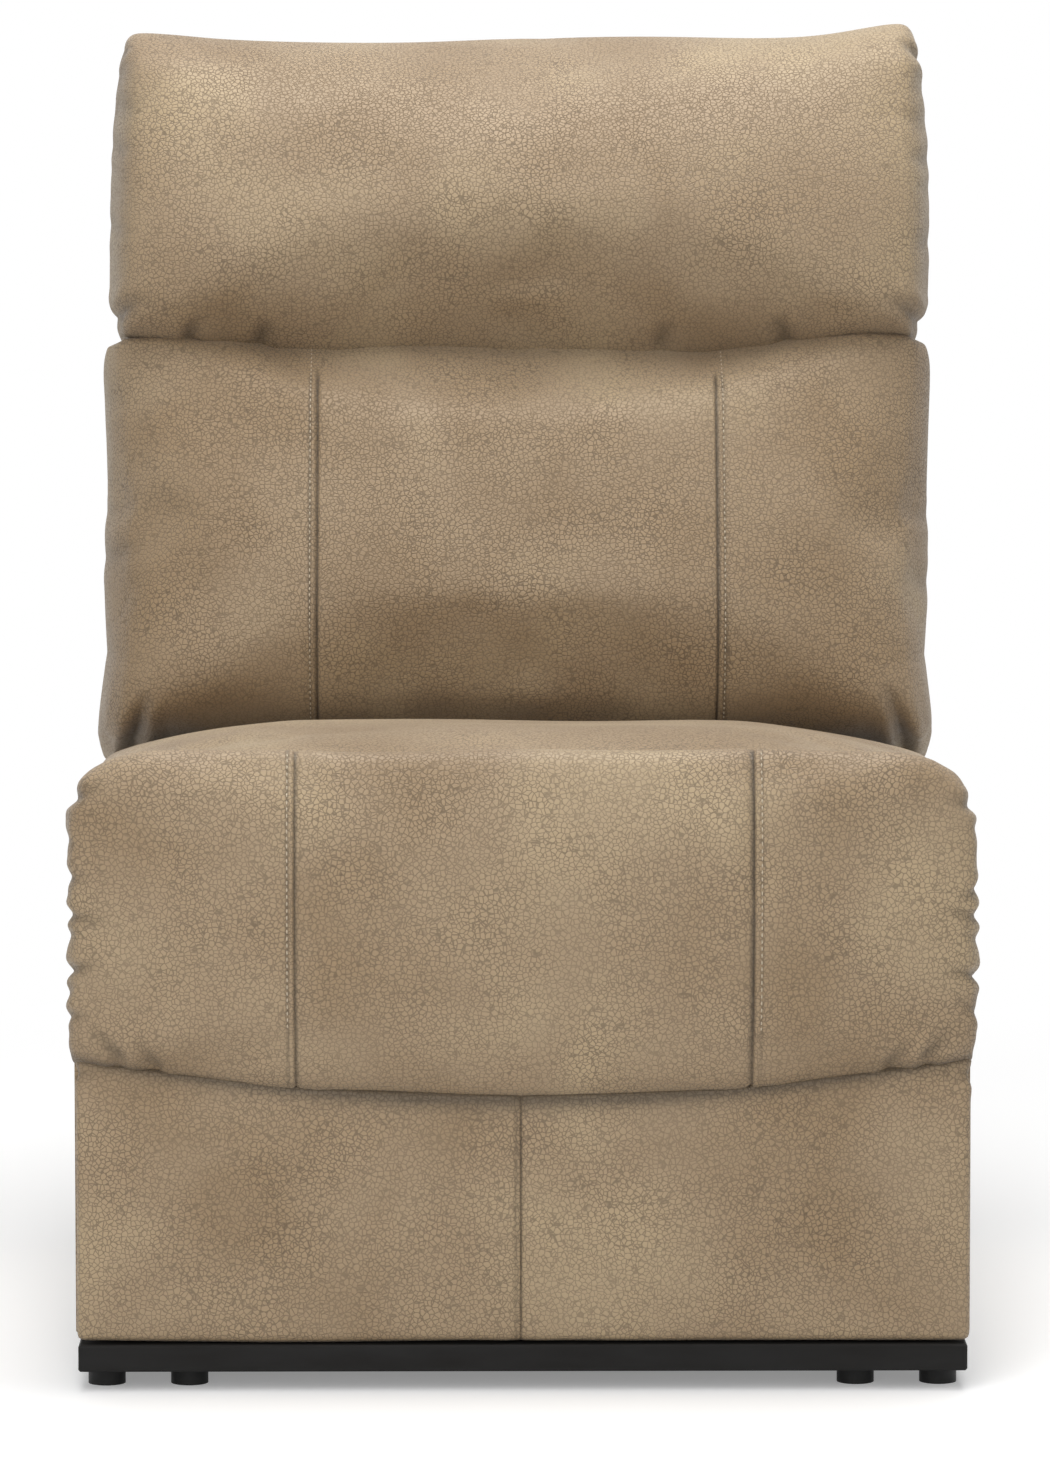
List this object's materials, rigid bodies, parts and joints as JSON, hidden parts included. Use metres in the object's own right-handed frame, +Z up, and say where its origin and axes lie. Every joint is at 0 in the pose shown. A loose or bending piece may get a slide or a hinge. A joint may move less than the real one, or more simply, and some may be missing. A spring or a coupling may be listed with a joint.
{
  "type": "armless recliner",
  "caption": "Armless recliner with a padded seat, tall back with a head pillow, and a rolled footrest that swings out on a steel linkage over a flat black base.",
  "frame": {"origin": "on the floor under the middle of the whole object", "axes": "+Z up, the front faces -Y, +X to the sitter's left as seen from the front's right"},
  "size_m": [0.682, 0.9626, 1.0069],
  "materials": {
    "upholstery": "mottled sand-brown pebbled upholstery",
    "black_board": "black painted board",
    "black_plastic": "moulded black plastic",
    "frame_wood": "bare plywood",
    "black_steel": "black enamel on pressed steel",
    "rivet_steel": "zinc-plated steel",
    "webbing": "woven elastic webbing",
    "strap": "woven strap"
  },
  "bodies": {
    "base": {"front_board": "black_board", "rear_board": "black_board", "left_runner": "black_board", "right_runner": "black_board", "front_glides": "black_plastic", "rear_glides": "black_plastic", "left_base_bracket": "black_steel", "right_base_bracket": "black_steel"},
    "front_swing": {"front_swing_links": "black_steel", "front_swing_tube": "black_steel"},
    "rear_swing": {"rear_swing_links": "black_steel", "rear_swing_tube": "black_steel"},
    "seat": {"left_seat_plate": "black_steel", "right_seat_plate": "black_steel", "seat_front_rail": "frame_wood", "seat_rear_rail": "frame_wood", "left_side_rail": "frame_wood", "right_side_rail": "frame_wood", "seat_webbing": "webbing", "left_side_panel": "upholstery", "right_side_panel": "upholstery", "seat_rear_panel": "upholstery", "seat_cushion": "upholstery", "catch_pin": "rivet_steel"},
    "drive_link": {"drive_links": "black_steel", "drive_tube": "black_steel"},
    "guide_link": {"guide_links": "black_steel"},
    "long_link": {"long_links": "black_steel"},
    "stay_link": {"stay_links": "black_steel"},
    "footrest": {"footrest_board": "frame_wood", "left_footrest_bracket": "black_steel", "right_footrest_bracket": "black_steel", "front_panel": "upholstery", "calf_pad": "upholstery"},
    "back": {"left_back_side": "frame_wood", "right_back_side": "frame_wood", "back_lower_rail": "frame_wood", "back_top_rail": "frame_wood", "outside_back": "upholstery", "back_webbing": "webbing", "left_back_bracket": "black_steel", "right_back_bracket": "black_steel", "back_cushion": "upholstery", "head_pillow": "upholstery"},
    "back_link": {"back_links": "black_steel"},
    "release": {"release_strap": "strap"},
    "catch": {"release_catch": "black_steel"}
  },
  "joints": [
    {"name": "back_recline", "type": "hinge", "parent": "seat", "child": "back", "pos_m": [0, 0.19, 0.34], "axis": [-1, 0, 0], "range_deg": [0, 30]},
    {"name": "front_swing", "type": "hinge", "parent": "base", "child": "front_swing", "pos_m": [0, -0.22, 0.085], "axis": [1, 0, 0], "range_deg": [0, 28]},
    {"name": "seat_carry", "type": "hinge", "parent": "front_swing", "child": "seat", "pos_m": [0, -0.14958, 0.21744], "axis": [-1, 0, 0], "range_deg": [0, 28]},
    {"name": "rear_swing", "type": "hinge", "parent": "base", "child": "rear_swing", "pos_m": [0, 0.08, 0.085], "axis": [1, 0, 0], "range_deg": [0, 28]},
    {"name": "back_link_turn", "type": "hinge", "parent": "back", "child": "back_link", "pos_m": [0, 0.19099, 0.29501], "axis": [1, 0, 0], "range_deg": [0, 49]},
    {"name": "footrest_open", "type": "hinge", "parent": "seat", "child": "drive_link", "pos_m": [0, -0.325, 0.34], "axis": [-1, 0, 0], "range_deg": [0, 90]},
    {"name": "guide_turn", "type": "hinge", "parent": "seat", "child": "guide_link", "pos_m": [0, -0.267, 0.327], "axis": [-1, 0, 0], "range_deg": [0, 90]},
    {"name": "long_link_turn", "type": "hinge", "parent": "drive_link", "child": "long_link", "pos_m": [0, -0.256, 0.23], "axis": [1, 0, 0], "range_deg": [0, 90]},
    {"name": "stay_link_turn", "type": "hinge", "parent": "drive_link", "child": "stay_link", "pos_m": [0, -0.256, 0.14], "axis": [1, 0, 0], "range_deg": [0, 90]},
    {"name": "footrest_tilt", "type": "hinge", "parent": "long_link", "child": "footrest", "pos_m": [0, -0.396, 0.345], "axis": [-1, 0, 0], "range_deg": [0, 90]},
    {"name": "release_pull", "type": "slide", "parent": "seat", "child": "release", "axis": [1, 0, 0], "range_m": [0, 0.025], "stiffness_N_per_m": 400},
    {"name": "catch_turn", "type": "hinge", "parent": "seat", "child": "catch", "pos_m": [0.294, -0.205, 0.339], "axis": [0, 0, -1], "range_deg": [0, 27]}
  ],
  "couplings": [
    {"joint": "front_swing", "follows": "back_recline", "ratio": 0.93333},
    {"joint": "seat_carry", "follows": "back_recline", "ratio": 0.93333},
    {"joint": "rear_swing", "follows": "back_recline", "ratio": 0.93333},
    {"joint": "back_link_turn", "follows": "back_recline", "ratio": 1.62},
    {"joint": "guide_turn", "follows": "footrest_open", "ratio": 1},
    {"joint": "long_link_turn", "follows": "footrest_open", "ratio": 1},
    {"joint": "stay_link_turn", "follows": "footrest_open", "ratio": 1},
    {"joint": "footrest_tilt", "follows": "footrest_open", "ratio": 1},
    {"joint": "catch_turn", "follows": "release_pull", "rad_per_m": 18.18}
  ]
}
